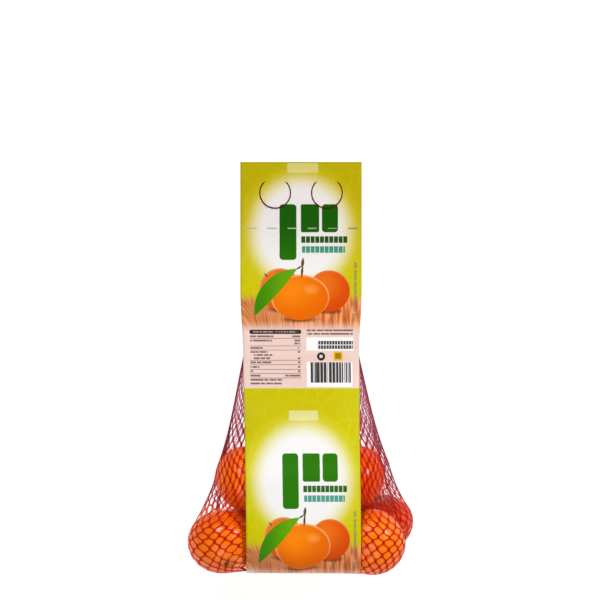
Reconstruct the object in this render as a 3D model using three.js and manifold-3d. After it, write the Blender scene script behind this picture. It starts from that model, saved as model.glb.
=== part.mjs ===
// A one-kilogram net of mandarins, lying on its back with the printed side up.
//
// A tubular net holds thirteen mandarins in two layers. A printed film band runs the whole length of the
// front and another the whole length of the back. At the top the two bands lie flat on each other as a
// header with two finger holes, whose flaps are still hinged at their upper edge. At the bottom the
// front band laps over the end of the back band.
//
// Frame: millimetres, +Z up from the surface the bag lies on, +Y from the fruit towards the header,
// +X to the right as the front is read. The origin is under the middle of the bag.

import * as THREE from "three";
import { mergeVertices } from "three/addons/utils/BufferGeometryUtils.js";
import Module from "manifold-3d";

const wasm = await Module();
wasm.setup();

// Driving dimensions.
const headerTop = 182.5; // Y of the header's free edge
const netTop = 12; // Y where the net comes out from between the two bands
const filmThickness = 0.5; // far thicker than the real 0.05 mm, so that it is a solid
const clearance = 0.3; // between neighbouring pieces
const netThickness = 1; // from a fruit's skin to the outside of the strands
const lapLength = 12; // how far the front band reaches past the end of the back band
const fingerHole = { radius: 13.6, pitch: 46, y: 155, slit: 0.9, hingeDegrees: 88 };
const perforation = { count: 6, pitch: 18, length: 8, width: 0.7, y: 123.5, firstX: -44 };

// Half the band's width at the header, where the net starts, and over the fruit, and how far the band's
// middle drifts to the right between the header and the bottom.
const bandHalfWidth = { header: 53.9, neck: 51.4, fruit: 50 };
const bandDrift = 2.4;
const headerEase = 24; // length over which the front band comes down to the header
const headerRows = [60, 90, headerTop]; // places along the flat header

// Each mandarin: where it lies in plan, its diameter across the equator, and which way its stem points.
// The lower ones lie on the floor of the net and the upper ones on them.
const lowerMandarins = [
  { x: -52, y: -149.5, diameter: 54, stem: [0.3, 0.4, -0.8] },
  { x: 12, y: -151.5, diameter: 55, stem: [0.7, -0.2, -0.6] },
  { x: 71, y: -137, diameter: 55, stem: [-0.2, 0.9, 0.3] },
  { x: -38, y: -98.5, diameter: 54, stem: [-0.6, 0.5, -0.5] },
  { x: 36, y: -98.5, diameter: 53, stem: [0.2, 0.6, -0.7] },
  { x: -22, y: -42, diameter: 54, stem: [-0.2, 0.3, 0.9] },
  { x: 28, y: -47, diameter: 53, stem: [0.1, 0.8, 0.3] },
];
const upperMandarins = [
  { x: -68.5, y: -151, diameter: 60, stem: [0.15, -0.8, 0.57] },
  { x: -8, y: -152.5, diameter: 56, stem: [0.2, 0.9, 0.2] },
  { x: 62, y: -151.5, diameter: 58, stem: [0.2, 0.3, -0.9] },
  { x: -49, y: -96.5, diameter: 57, stem: [0.93, 0.1, 0.3] },
  { x: 48, y: -95, diameter: 56, stem: [-0.93, 0.15, 0.3] },
  { x: 0, y: -66, diameter: 53, stem: [0.1, 0.3, 0.9] },
];
const mandarinFlatness = 0.88; // height from stem to navel over the diameter
const contactShare = 0.965; // of a mandarin's half diameter, where it touches another at a chance angle

// The envelope is a grid of rays: rings from the bottom seam to the header, each with columns across the
// front band, down the right side, across the back band and up the left side. The first rings fan out
// from the seam round the pile's end; the others stand square to the bag.
const rings = 40;
const endRings = 8;
const bandColumns = 8;
const sideColumns = 16;
const pileMiddle = { y: -149, z: 46 }; // where the fan's rays start
const coreSlope = 95; // length over which the rays' start comes down to the seam
const settlingSteps = 600;
// How strongly each part of the girth is pulled round the bag, beside a lengthwise pull of one. The net's
// left side is drawn straighter from the header to the lowest fruit than its right side.
const pull = { front: 1.2, right: 0.14, back: 1.2, left: 0.03 };
const bandStiffness = 0.25; // how strongly a band stays straight across
const seamStiffness = 0.8; // the same for the welded seam
const leastRadius = 5; // what the rays start with where no fruit lies on them

const backTop = filmThickness; // upper face of the back band where it lies flat
const netFloor = backTop + clearance; // lowest point of the net
const seamEdge = netFloor + 0.4; // height of the net's closed edge at the header

const smooth = (low, high, value) => {
  const t = Math.min(1, Math.max(0, (value - low) / (high - low)));
  return t * t * (3 - 2 * t);
};
const mix = (a, b, t) => a + (b - a) * t;

// The band's edge-to-edge position at a place along the bag; side runs from -1, its left edge, to 1.
function bandX(y, side) {
  const neck = mix(bandHalfWidth.fruit, bandHalfWidth.neck, smooth(-60, 0, y));
  const half = mix(neck, bandHalfWidth.header, smooth(10, 70, y));
  return bandDrift * (1 - smooth(-180, 40, y)) + half * side;
}

// A mandarin grown by the net's thickness, as an oblate spheroid at the height where it comes to rest.
function spheroid({ x, y, diameter, stem }, supports) {
  const axis = new THREE.Vector3(...stem).normalize();
  const equator = diameter / 2 + netThickness;
  const pole = (diameter / 2) * mandarinFlatness + netThickness;
  const touch = (diameter / 2) * contactShare;
  const onFloor = netFloor + Math.hypot(equator * Math.hypot(axis.x, axis.y), pole * axis.z);
  const heights = supports.map((lower) => {
    const [across, apart] = [Math.hypot(x - lower.centre.x, y - lower.centre.y), touch + lower.touch];
    return across < apart ? lower.centre.z + Math.sqrt(apart ** 2 - across ** 2) : onFloor;
  });
  return { centre: new THREE.Vector3(x, y, Math.max(onFloor, ...heights)), stem: axis, equator, pole, touch };
}

const lower = lowerMandarins.map((mandarin) => spheroid(mandarin, []));
const upper = upperMandarins.map((mandarin) => spheroid(mandarin, lower));
const spheroids = [...lower, ...upper];

// The columns of one ring, in order round the bag. A band column has its side from -1 to 1; a side
// column has its share of the way down the right side or up the left side.
const columns = [];
for (let k = 0; k <= bandColumns; k++) columns.push({ part: "front", side: (2 * k) / bandColumns - 1 });
for (let k = 1; k < sideColumns; k++) columns.push({ part: "right", share: k / sideColumns });
for (let k = 0; k <= bandColumns; k++) columns.push({ part: "back", side: 1 - (2 * k) / bandColumns });
for (let k = 1; k < sideColumns; k++) columns.push({ part: "left", share: 1 - k / sideColumns });
const backStart = bandColumns + sideColumns; // column of the back band's right edge
const backOf = (front) => backStart + bandColumns - front; // the back column behind a front one

// The ray of one place in the grid: where it starts and which way it goes.
function rayAt(i, { part, side, share }) {
  const tilt = i < endRings ? (Math.PI / 2) * (1 - i / endRings) : 0;
  const y = i < endRings ? pileMiddle.y : mix(pileMiddle.y, netTop, (i - endRings) / (rings - endRings));
  const z = mix(seamEdge, pileMiddle.z, Math.min(1, (netTop - y) / coreSlope));
  const angle = { front: 0, back: Math.PI }[part] ?? Math.PI * share;
  const across = side === undefined ? { right: 1, left: -1 }[part] : side;
  const out = side === undefined ? across * Math.sin(angle) : 0;
  return {
    from: new THREE.Vector3(bandX(y, across), y, z),
    way: new THREE.Vector3(out * Math.cos(tilt), -Math.sin(tilt), Math.cos(angle) * Math.cos(tilt)),
  };
}

// How far along a ray the last of the fruit ends.
function lastFruit({ from, way }) {
  let far = 0;
  for (const { centre, stem, equator, pole } of spheroids) {
    const start = from.clone().sub(centre);
    const [startAlong, wayAlong] = [start.dot(stem), way.dot(stem)];
    const stretch = 1 / pole ** 2 - 1 / equator ** 2;
    const a = 1 / equator ** 2 + stretch * wayAlong ** 2;
    const b = start.dot(way) / equator ** 2 + stretch * startAlong * wayAlong;
    const c = start.lengthSq() / equator ** 2 + stretch * startAlong ** 2 - 1;
    const root = b * b - a * c;
    if (root > 0) far = Math.max(far, (Math.sqrt(root) - b) / a);
  }
  return far;
}

// Where a ray passes closest to the straight line between two points.
function crossing({ from, way }, p, q) {
  const chord = q.clone().sub(p);
  const gap = from.clone().sub(p);
  const [cc, cw] = [chord.lengthSq(), chord.dot(way)];
  const slant = cc - cw * cw;
  if (slant < 1e-6 * cc + 1e-9) return p.clone().add(q).multiplyScalar(0.5).sub(from).dot(way);
  return (cw * chord.dot(gap) - cc * way.dot(gap)) / slant;
}

// The net's envelope: pulled tight over the fruit, mostly lengthwise, and resting on the floor.
function envelope() {
  const count = columns.length;
  const rays = [];
  for (let i = 0; i <= rings; i++) rays.push(columns.map((column) => rayAt(i, column)));
  const least = rays.map((ring) => ring.map(lastFruit));
  const most = rays.map((ring) =>
    ring.map(({ from, way }) => (way.z < -1e-3 ? (netFloor - from.z) / way.z : Infinity)),
  );
  const radius = least.map((ring, i) => ring.map((r) => (i === rings ? 0 : Math.max(r, leastRadius))));
  const point = (i, j) => rays[i][j].from.clone().addScaledVector(rays[i][j].way, radius[i][j]);
  const keep = (i, j, r) => {
    radius[i][j] = Math.min(most[i][j], Math.max(least[i][j], r));
  };

  for (let step = 0; step < settlingSteps; step++) {
    for (let i = 1; i < rings; i++) {
      for (let j = 0; j < count; j++) {
        const ray = rays[i][j];
        const around = pull[columns[j].part];
        const lengthwise = crossing(ray, point(i - 1, j), point(i + 1, j));
        const girthwise = crossing(ray, point(i, (j + count - 1) % count), point(i, (j + 1) % count));
        const onFloor = columns[j].part === "back" && i >= endRings;
        keep(i, j, onFloor ? most[i][j] : (lengthwise + around * girthwise) / (1 + around));
      }
      // A band is a sheet, so where one place on it is pushed out, its whole width follows.
      for (const first of [0, backStart]) {
        const band = radius[i].slice(first, first + bandColumns + 1);
        const furthest = Math.max(...band);
        band.forEach((r, k) => keep(i, first + k, r + bandStiffness * (furthest - r)));
      }
    }
    // The seam is one line, shared by the front and the back, and the sides gather at its two ends.
    const seam = [];
    for (let k = 0; k <= bandColumns; k++)
      seam.push(Math.max(least[0][k], crossing(rays[0][k], point(1, k), point(1, backOf(k)))));
    const furthest = Math.max(...seam);
    seam.forEach((r, k) => (radius[0][k] = radius[0][backOf(k)] = r + seamStiffness * (furthest - r)));
    columns.forEach(({ part }, j) => {
      if (part === "right") radius[0][j] = radius[0][bandColumns];
      if (part === "left") radius[0][j] = radius[0][0];
    });
  }
  return radius.map((ring, i) => ring.map((_, j) => point(i, j)));
}

// A closed manifold solid from points and faces of three or four corners, wound facing outwards.
function solidFrom(points, faces) {
  const fans = faces.map((face) => face.slice(2).flatMap((last, k) => [face[0], face[k + 1], last]));
  const corners = fans.flat().map((corner) => points[corner]);
  const loose = new THREE.BufferGeometry().setFromPoints(corners);
  const merged = mergeVertices(loose, 1e-3);
  const index = merged.index.array;
  const kept = [];
  for (let k = 0; k < index.length; k += 3) {
    const [a, b, c] = [index[k], index[k + 1], index[k + 2]];
    if (a !== b && b !== c && a !== c) kept.push(a, b, c);
  }
  const vertProperties = merged.attributes.position.array;
  return new wasm.Manifold(new wasm.Mesh({ numProp: 3, vertProperties, triVerts: new Uint32Array(kept) }));
}

// The named mesh of a manifold solid.
function meshOf(name, solid, color, roughness) {
  const data = solid.getMesh();
  const geometry = new THREE.BufferGeometry();
  geometry.setAttribute("position", new THREE.BufferAttribute(new Float32Array(data.vertProperties), 3));
  geometry.setIndex(new THREE.BufferAttribute(new Uint32Array(data.triVerts), 1));
  geometry.computeVertexNormals();
  const mesh = new THREE.Mesh(geometry, new THREE.MeshStandardMaterial({ color, roughness, metalness: 0 }));
  mesh.name = name;
  return mesh;
}

// The net with its fruit: the envelope's rings joined into one closed body.
function netSolid(grid) {
  const count = columns.length;
  const faces = [];
  for (let i = 0; i < rings; i++)
    for (let j = 0; j < count; j++) {
      const next = (j + 1) % count;
      faces.push([i * count + j, i * count + next, (i + 1) * count + next, (i + 1) * count + j]);
    }
  return solidFrom(grid.flat(), faces);
}

// Outward unit normal of the envelope at a ring and a band column, from its neighbours.
function normalAt(grid, i, j) {
  const count = columns.length;
  const { part } = columns[j];
  const inBand = (k) => columns[k].part === part;
  const [before, after] = [(j + count - 1) % count, (j + 1) % count];
  const around = grid[i][inBand(after) ? after : j].clone().sub(grid[i][inBand(before) ? before : j]);
  const below = i > 0 ? grid[i - 1][j] : grid[1][backOf(j)];
  const above = i < rings ? grid[i + 1][j] : grid[i][j];
  return around.cross(above.clone().sub(below)).normalize();
}

// A band: rows of points from end to end, each with the direction of its outer face, made a solid sheet.
function sheetSolid(rows) {
  const across = rows[0].length;
  const places = rows.flat();
  const outer = places.length;
  const points = places.map(({ at }) => at);
  points.push(...places.map(({ at, out }) => at.clone().addScaledVector(out, filmThickness)));
  const faces = [];
  const place = (r, c) => r * across + c;
  for (let r = 0; r + 1 < rows.length; r++)
    for (let c = 0; c + 1 < across; c++) {
      // Both faces are split along the same diagonal as the envelope, so they stay the same distance apart.
      const quad = [place(r, c), place(r, c + 1), place(r + 1, c + 1), place(r + 1, c)];
      faces.push(quad.map((n) => n + outer));
      faces.push([quad[0], quad[3], quad[2], quad[1]]);
    }
  const rim = [];
  for (let c = 0; c + 1 < across; c++) rim.push([place(0, c), place(0, c + 1)]);
  for (let r = 0; r + 1 < rows.length; r++) rim.push([place(r, across - 1), place(r + 1, across - 1)]);
  for (let c = across - 1; c > 0; c--) rim.push([place(rows.length - 1, c), place(rows.length - 1, c - 1)]);
  for (let r = rows.length - 1; r > 0; r--) rim.push([place(r, 0), place(r - 1, 0)]);
  for (const [a, b] of rim) faces.push([a, b, b + outer, a + outer]);
  return solidFrom(points, faces);
}

const bandSides = columns.slice(0, bandColumns + 1).map(({ side }) => side);
const up = new THREE.Vector3(0, 0, 1);

// The band's places along one ring of the envelope, a distance off it.
function bandRow(grid, i, columnOf, away) {
  return bandSides.map((side, k) => {
    const out = normalAt(grid, i, columnOf(k));
    return { at: grid[i][columnOf(k)].clone().addScaledVector(out, away), out };
  });
}

// The band's places straight across at a place along the bag.
function flatRow(y, z, out) {
  return bandSides.map((side) => ({ at: new THREE.Vector3(bandX(y, side), y, z), out }));
}

// The front band, from its lapped lower end over the fruit to the header's free edge.
function frontBand(grid) {
  const overBack = 2 * clearance + filmThickness; // how far off the net it passes over the back band
  const lapRows = Math.round(lapLength / grid[1][backStart].distanceTo(grid[0][bandColumns]));
  const rows = [];
  for (let i = lapRows; i > 0; i--) rows.push(bandRow(grid, i, backOf, overBack));
  for (let i = 0; i < rings; i++)
    rows.push(bandRow(grid, i, (k) => k, mix(overBack, clearance, smooth(0, lapRows + 2, i))));
  // Past the net's edge it comes down onto the back band.
  for (const y of [netTop + 2, netTop + 10, netTop + headerEase, ...headerRows]) {
    const lift = seamEdge - netFloor + overBack;
    rows.push(flatRow(y, netFloor + lift * (1 - smooth(netTop, netTop + headerEase, y)), up));
  }
  return sheetSolid(rows);
}

// The back band, flat under the fruit, turned up at the bottom to end just inside the front one.
function backBand(grid) {
  const down = up.clone().negate();
  const rows = [];
  for (let i = 1; i < endRings; i++) rows.push(bandRow(grid, i, backOf, clearance));
  for (const y of [pileMiddle.y, netTop, ...headerRows]) rows.push(flatRow(y, backTop, down));
  // Seen from outside, the back band's rows run the other way round.
  return sheetSolid(rows.map((row) => [...row].reverse()));
}

// An upright prism of a flat shape, tall enough to cut both layers of the header.
function cutter(shape) {
  const depth = 12;
  const geometry = new THREE.ExtrudeGeometry(shape, { depth, bevelEnabled: false, curveSegments: 20 });
  geometry.translate(0, 0, -depth / 2);
  geometry.deleteAttribute("normal");
  geometry.deleteAttribute("uv");
  const merged = mergeVertices(geometry, 1e-4);
  return new wasm.Manifold(
    new wasm.Mesh({
      numProp: 3,
      vertProperties: merged.attributes.position.array,
      triVerts: new Uint32Array(merged.index.array),
    }),
  );
}

// The slit round a finger hole's flap: a ring that stops short of the hinge at its top.
function fingerSlit(x) {
  const { radius, y, slit, hingeDegrees } = fingerHole;
  const [from, to] = [90 + hingeDegrees / 2, 450 - hingeDegrees / 2].map(THREE.MathUtils.degToRad);
  const shape = new THREE.Shape();
  shape.absarc(x, y, radius, from, to, false);
  shape.absarc(x, y, radius - slit, to, from, true);
  shape.closePath();
  return cutter(shape);
}

// One slot of the row of perforations across the header.
function perforationSlot(index) {
  const { pitch, length, width, y, firstX } = perforation;
  const x = firstX + index * pitch;
  const shape = new THREE.Shape();
  shape.moveTo(x - length / 2, y - width / 2);
  shape.lineTo(x + length / 2, y - width / 2);
  shape.lineTo(x + length / 2, y + width / 2);
  shape.lineTo(x - length / 2, y + width / 2);
  shape.closePath();
  return cutter(shape);
}

function punchHeader(band) {
  const cuts = [-1, 1].map((side) => fingerSlit((side * fingerHole.pitch) / 2));
  for (let k = 0; k < perforation.count; k++) cuts.push(perforationSlot(k));
  return cuts.reduce((left, cut) => left.subtract(cut), band);
}

const grid = envelope();

const bag = new THREE.Group();
bag.add(meshOf("net_with_mandarins", netSolid(grid), 0xd8431c, 0.5));
bag.add(meshOf("film_front", punchHeader(frontBand(grid)), 0xcbc60a, 0.3));
bag.add(meshOf("film_back", punchHeader(backBand(grid)), 0xcbc60a, 0.3));

export default bag;
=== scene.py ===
# %% [markdown]
# # A net bag of mandarins
#
# The bag lies on its back. A knitted net holds thirteen mandarins, and a printed film band runs down its
# front and another down its back. Where the two bands meet above the fruit they make a flat header with
# two finger holes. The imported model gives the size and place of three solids: the net with its fruit, the
# front band and the back band. Here each is replaced by what it really is: separate fruit with pored
# peel, a net of thin strands, and thin film with a print.

import bpy
import numpy as np
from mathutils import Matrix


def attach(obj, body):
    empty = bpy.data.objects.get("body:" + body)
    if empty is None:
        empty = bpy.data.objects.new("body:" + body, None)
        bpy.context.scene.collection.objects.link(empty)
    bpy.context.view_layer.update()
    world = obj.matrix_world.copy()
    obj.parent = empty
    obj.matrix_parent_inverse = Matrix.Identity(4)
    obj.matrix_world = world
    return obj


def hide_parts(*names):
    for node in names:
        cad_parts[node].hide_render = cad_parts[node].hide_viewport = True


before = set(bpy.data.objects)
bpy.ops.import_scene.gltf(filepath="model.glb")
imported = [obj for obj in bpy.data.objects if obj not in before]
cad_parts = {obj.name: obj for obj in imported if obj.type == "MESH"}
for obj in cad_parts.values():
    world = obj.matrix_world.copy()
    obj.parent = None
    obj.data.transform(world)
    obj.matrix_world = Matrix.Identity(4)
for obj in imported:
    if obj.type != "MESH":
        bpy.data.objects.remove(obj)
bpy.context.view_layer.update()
print("CAD nodes:", sorted(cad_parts))

# %% [markdown]
# ## Working in millimetres
#
# The real sizes of a bag are millimetres, so every shape is worked out in millimetres and turned to
# metres when its mesh is made. All shapes here are grids of points: rows and columns worked out as whole
# arrays. One helper joins the neighbours of a grid into quads, and another makes a mesh from them.

# %% Grids and meshes
MM = 0.001


def mix(a, b, t):
    """A share t of the way from a to b."""
    return a + (b - a) * t


def smooth(low, high, value):
    """An S-curve: 0 below low, 1 above high, and 3t² − 2t³ between them."""
    t = np.clip((value - low) / (high - low), 0, 1)
    return t * t * (3 - 2 * t)


def unit(vectors):
    """The same directions with length one."""
    return vectors / np.maximum(np.linalg.norm(vectors, axis=-1, keepdims=True), 1e-9)


def grid_faces(rows, columns, wrap=False):
    """Quads between the neighbours of a grid; with wrap, the last column joins the first."""
    index = np.arange(rows * columns).reshape(rows, columns)
    following = np.roll(index, -1, axis=1)
    last = columns if wrap else columns - 1
    corners = [index[:-1, :last], following[:-1, :last], following[1:, :last], index[1:, :last]]
    return np.stack(corners, axis=-1).reshape(-1, 4)


def make_piece(name, points, faces, replaces=None):
    """A smooth-shaded mesh in its place, from points in millimetres, riding on the bag's one body."""
    mesh = bpy.data.meshes.new(name)
    mesh.from_pydata((points.reshape(-1, 3) * MM).tolist(), [], [list(face) for face in faces])
    mesh.polygons.foreach_set("use_smooth", np.ones(len(mesh.polygons), dtype=bool))
    piece = bpy.data.objects.new(name, mesh)
    bpy.context.scene.collection.objects.link(piece)
    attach(piece, "root")
    if replaces:
        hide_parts(replaces)
    triangles = sum(len(face) - 2 for face in faces)
    print(f"{name}: {len(points.reshape(-1, 3))} points, {triangles} triangles")
    return piece


def note(piece, name, values):
    """Keeps one number for each point of a piece, for its material to read."""
    piece.data.attributes.new(name, "FLOAT", "POINT").data.foreach_set("value", values.ravel())


print("a grid of 3 × 4 points has", len(grid_faces(3, 4)), "quads")
print("the same grid wrapped into a tube has", len(grid_faces(3, 4, wrap=True)))

# %% [markdown]
# ## Ripples
#
# Nothing on a real bag is perfectly even. A sum of a few sine waves in different directions makes a
# smooth unevenness that is the same on each run, and that can be worked out for whole arrays at once.

# %% A smooth unevenness
def ripple(places, wavelength, seed, waves=7):
    """Sines along random directions through space, with wavelengths near the one given; about −1 to 1."""
    random = np.random.default_rng(seed)
    ways = unit(random.normal(size=(waves, places.shape[-1])))
    lengths = wavelength * random.uniform(0.7, 1.5, waves)
    phases = random.uniform(0, 2 * np.pi, waves)
    turns = 2 * np.pi * (places @ ways.T) / lengths + phases
    return np.sin(turns).mean(axis=-1) * 2


print("unevenness at five places 1 mm apart:", ripple(np.arange(5.0)[:, None], 3.0, 1).round(2))

# %% [markdown]
# ## Camera, light and floor
#
# The bag is seen from straight above, through a long lens so that the high fruit and the flat header
# keep nearly the same scale. Two soft lights above on either side, a wide fill light beyond its end and
# a white world light it evenly. The floor is a sheet of white acrylic with light behind it, which keeps
# the ground white round the bag.

# %% Camera
# The camera's height, how wide the view is at the ground, and the place at its middle.
CAMERA_HEIGHT = 5000.0
VIEW_WIDTH = 533.4
VIEW_MIDDLE = (-0.9, 59.8)
SENSOR_WIDTH = 36.0

scene = bpy.context.scene
scene.view_settings.view_transform = "Standard"

camera_data = bpy.data.cameras.new("camera")
camera_data.sensor_width = SENSOR_WIDTH
camera_data.lens = SENSOR_WIDTH * CAMERA_HEIGHT / VIEW_WIDTH
camera = bpy.data.objects.new("camera", camera_data)
camera.location = [VIEW_MIDDLE[0] * MM, VIEW_MIDDLE[1] * MM, CAMERA_HEIGHT * MM]
scene.collection.objects.link(camera)
scene.camera = camera
print("lens", round(camera_data.lens, 1), "mm at", CAMERA_HEIGHT / 1000, "m")

# %% Lights
# Each light's name, place and width in metres, and watts.
LIGHTS = [("left_light", (-0.5, 1.15, 1.8), 0.4, 21.5)]
LIGHTS += [("right_light", (1.5, 0.6, 1.45), 0.4, 21.5)]
LIGHTS += [("fill_light", (-0.3, -1.6, 1.5), 1.4, 14)]
WORLD_STRENGTH = 0.22


def soft_light(name, place, size, watts):
    """A square light that faces the middle of the bag: its own Z axis points away from there."""
    data = bpy.data.lights.new(name, "AREA")
    data.size = size
    data.energy = watts
    light = bpy.data.objects.new(name, data)
    light.location = place
    light.rotation_euler = light.location.to_track_quat("Z", "Y").to_euler()
    scene.collection.objects.link(light)


for light in LIGHTS:
    soft_light(*light)

world = bpy.data.worlds.new("white_studio")
world.use_nodes = True
world.node_tree.nodes["Background"].inputs["Color"].default_value = (1, 1, 1, 1)
world.node_tree.nodes["Background"].inputs["Strength"].default_value = WORLD_STRENGTH
scene.world = world
print("lights:", len(LIGHTS), "with", sum(light[-1] for light in LIGHTS), "watts in all")

# %% Floor
FLOOR_HALF = 2500.0

corners = np.array([[-1, -1, 0], [1, -1, 0], [1, 1, 0], [-1, 1, 0]]) * FLOOR_HALF
floor_mesh = bpy.data.meshes.new("floor")
floor_mesh.from_pydata((corners * MM).tolist(), [], [[0, 1, 2, 3]])
floor = bpy.data.objects.new("floor", floor_mesh)
scene.collection.objects.link(floor)
print("floor:", 2 * FLOOR_HALF / 1000, "m wide")

# %% [markdown]
# ## The pile
#
# Thirteen mandarins lie in two layers, in the places that the solid was built from. A mandarin is a
# flattened ball, wider than it is high. The lower ones lie on the net's floor, and each upper one comes
# down until it touches one of them.

# %% The pile
# Places along the bag where the net and the header end.
NET_TOP = 12.0
HEADER_TOP = 182.5
# What lies between the ground and the fruit: the back band, a gap, and the net.
FILM_SPACE = 0.5
CLEARANCE = 0.3
NET_THICKNESS = 1.0
NET_FLOOR = FILM_SPACE + CLEARANCE
SEAM_EDGE = NET_FLOOR + 0.4
# A mandarin's height over its width, and how close two of them lie, over the sum of their radii.
FLATNESS = 0.88
CONTACT_SHARE = 0.965

# Place in plan, diameter, the way the stem points, and how ripe: 0 is yellow-orange, 1 is red-orange.
LOWER = [
    ((-52, -149.5), 54, (0.3, 0.4, -0.8), 0.6),
    ((12, -151.5), 55, (0.7, -0.2, -0.6), 0.4),
    ((71, -137), 55, (-0.2, 0.9, 0.3), 0.95),
    ((-38, -98.5), 54, (-0.6, 0.5, -0.5), 0.7),
    ((36, -98.5), 53, (0.2, 0.6, -0.7), 0.6),
    ((-22, -42), 54, (-0.2, 0.3, 0.9), 0.5),
    ((28, -47), 53, (0.1, 0.8, 0.3), 0.75),
]
UPPER = [
    ((-68.5, -151), 60, (0.15, -0.8, 0.57), 0.3),
    ((-8, -152.5), 56, (0.2, 0.9, 0.2), 0.4),
    ((62, -151.5), 58, (0.2, 0.3, -0.9), 0.1),
    ((-49, -96.5), 57, (0.93, 0.1, 0.3), 0.3),
    ((48, -95), 56, (-0.93, 0.15, 0.3), 0.8),
    ((0, -66), 53, (0.1, 0.3, 0.9), 0.5),
]


def come_to_rest(table, supports):
    """Each mandarin's centre: on the floor, or above a support so that the two just touch."""
    piled = []
    for plan, diameter, stem, ripeness in table:
        axis = unit(np.array(stem, float))
        equator, pole = diameter / 2, diameter / 2 * FLATNESS
        grown = np.array([equator + NET_THICKNESS, pole + NET_THICKNESS])
        touch = equator * CONTACT_SHARE
        height = NET_FLOOR + np.hypot(grown[0] * np.hypot(axis[0], axis[1]), grown[1] * axis[2])
        for lower in supports:
            across = np.hypot(*(np.array(plan) - lower["centre"][:2]))
            apart = touch + lower["touch"]
            if across < apart:
                height = max(height, lower["centre"][2] + np.sqrt(apart**2 - across**2))
        centre = np.array([*plan, height])
        piled.append(dict(centre=centre, stem=axis, equator=equator, pole=pole, touch=touch, ripe=ripeness))
    return piled


lower_layer = come_to_rest(LOWER, [])
pile = lower_layer + come_to_rest(UPPER, lower_layer)
print("top of the pile:", round(max(fruit["centre"][2] + fruit["pole"] for fruit in pile), 1), "mm")

# %% [markdown]
# ## The envelope
#
# The net and the bands are one skin pulled over the pile. The skin is a grid of rays that start inside
# the pile. Each ray has to reach past the fruit, and then it settles, again and again, to where it
# passes closest to the straight lines between its neighbours: that is what a pulled net does. It pulls
# mostly lengthwise, and tightest on the left side. The bands hardly stretch across, so their whole width
# follows their highest place. The same rule on a coarse grid made the solid; here a second pass makes it
# three times finer.

# %% The rays
# Half the band's width at three places, and how far it lies to the right over the fruit.
BAND_HALF = {"header": 53.9, "neck": 51.4, "fruit": 50.0}
BAND_DRIFT = 2.4
# The middle of the pile's end, along the bag and up, and how long the rays' starts sink to the header.
PILE_MIDDLE = (-149.0, 46.0)
CORE_SLOPE = 95.0


def band_x(y, side):
    """Where the band lies across the bag: its half width eases along the bag, and it drifts to the right."""
    neck = mix(BAND_HALF["fruit"], BAND_HALF["neck"], smooth(-60, 0, y))
    half = mix(neck, BAND_HALF["header"], smooth(10, 70, y))
    return BAND_DRIFT * (1 - smooth(-180, 40, y)) + half * side


def make_rays(finer):
    """Starts and directions: a fan round the pile's end, then square to the bag up to the net's top.

    Round the bag the columns go across the front band, down the right side, across the back band and up
    the left side. A side's rays all start at the band's edge and turn from up to down.
    """
    rings, end_rings, band, sides = 40 * finer, 8 * finer, 8 * finer, 16 * finer
    across = np.linspace(-1, 1, band + 1)
    turn = np.linspace(0, 1, sides + 1)[1:-1] * np.pi
    side = np.concatenate([across, np.ones(sides - 1), -across, -np.ones(sides - 1)])
    angle = np.concatenate([np.zeros(band + 1), turn, np.full(band + 1, np.pi), turn[::-1]])
    is_band = np.concatenate([np.ones(band + 1), np.zeros(sides - 1)] * 2) > 0
    ring = np.arange(rings + 1)[:, None]
    tilt = np.pi / 2 * (1 - np.minimum(ring / end_rings, 1))
    y = mix(PILE_MIDDLE[0], NET_TOP, np.maximum(ring - end_rings, 0) / (rings - end_rings))
    z = mix(SEAM_EDGE, PILE_MIDDLE[1], np.minimum(1, (NET_TOP - y) / CORE_SLOPE))
    out = np.where(is_band, 0, side * np.sin(angle)) * np.cos(tilt)
    start = np.stack(np.broadcast_arrays(band_x(y, side), y, z), axis=-1)
    way = np.stack(np.broadcast_arrays(out, -np.sin(tilt), np.cos(angle) * np.cos(tilt)), axis=-1)
    return dict(start=start, way=way, finer=finer, end_rings=end_rings, band=band, sides=sides)


def last_fruit(start, way):
    """How far along each ray the last flattened ball ends: the larger root of a quadratic, or 0."""
    far = np.zeros(start.shape[:-1])
    for fruit in pile:
        wide, high = fruit["equator"] + NET_THICKNESS, fruit["pole"] + NET_THICKNESS
        stretch = 1 / high**2 - 1 / wide**2
        gap = start - fruit["centre"]
        gap_up, way_up = gap @ fruit["stem"], way @ fruit["stem"]
        a = 1 / wide**2 + stretch * way_up**2
        b = (gap * way).sum(-1) / wide**2 + stretch * gap_up * way_up
        c = (gap * gap).sum(-1) / wide**2 + stretch * gap_up**2 - 1
        root = b * b - a * c
        far = np.maximum(far, np.where(root > 0, (np.sqrt(np.maximum(root, 0)) - b) / a, 0))
    return far


def crossing(start, way, p, q):
    """How far along each ray it passes closest to the straight line from p to q."""
    chord, gap = q - p, start - p
    length, lean = (chord * chord).sum(-1), (chord * way).sum(-1)
    slant = length - lean * lean
    along = (lean * (chord * gap).sum(-1) - length * (way * gap).sum(-1)) / np.maximum(slant, 1e-9)
    middle = ((p + q) / 2 - start) * way
    return np.where(slant < 1e-6 * length + 1e-9, middle.sum(-1), along)


print("the band is", round(band_x(-150.0, 1) - band_x(-150.0, -1), 1), "mm wide over the fruit")

# %% Pulling the skin tight
# How hard the skin pulls round the girth, over how hard it pulls along the bag.
AROUND_BAND, AROUND_RIGHT, AROUND_LEFT = 1.2, 0.14, 0.03
# The share of the way to its highest place that the band, and its end's edge, are drawn in each step.
BAND_STIFFNESS, SEAM_STIFFNESS = 0.25, 0.8
FINER = 3
FIRST_REACH = 5.0
COARSE_STEPS, FINE_STEPS = 600, 260


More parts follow.
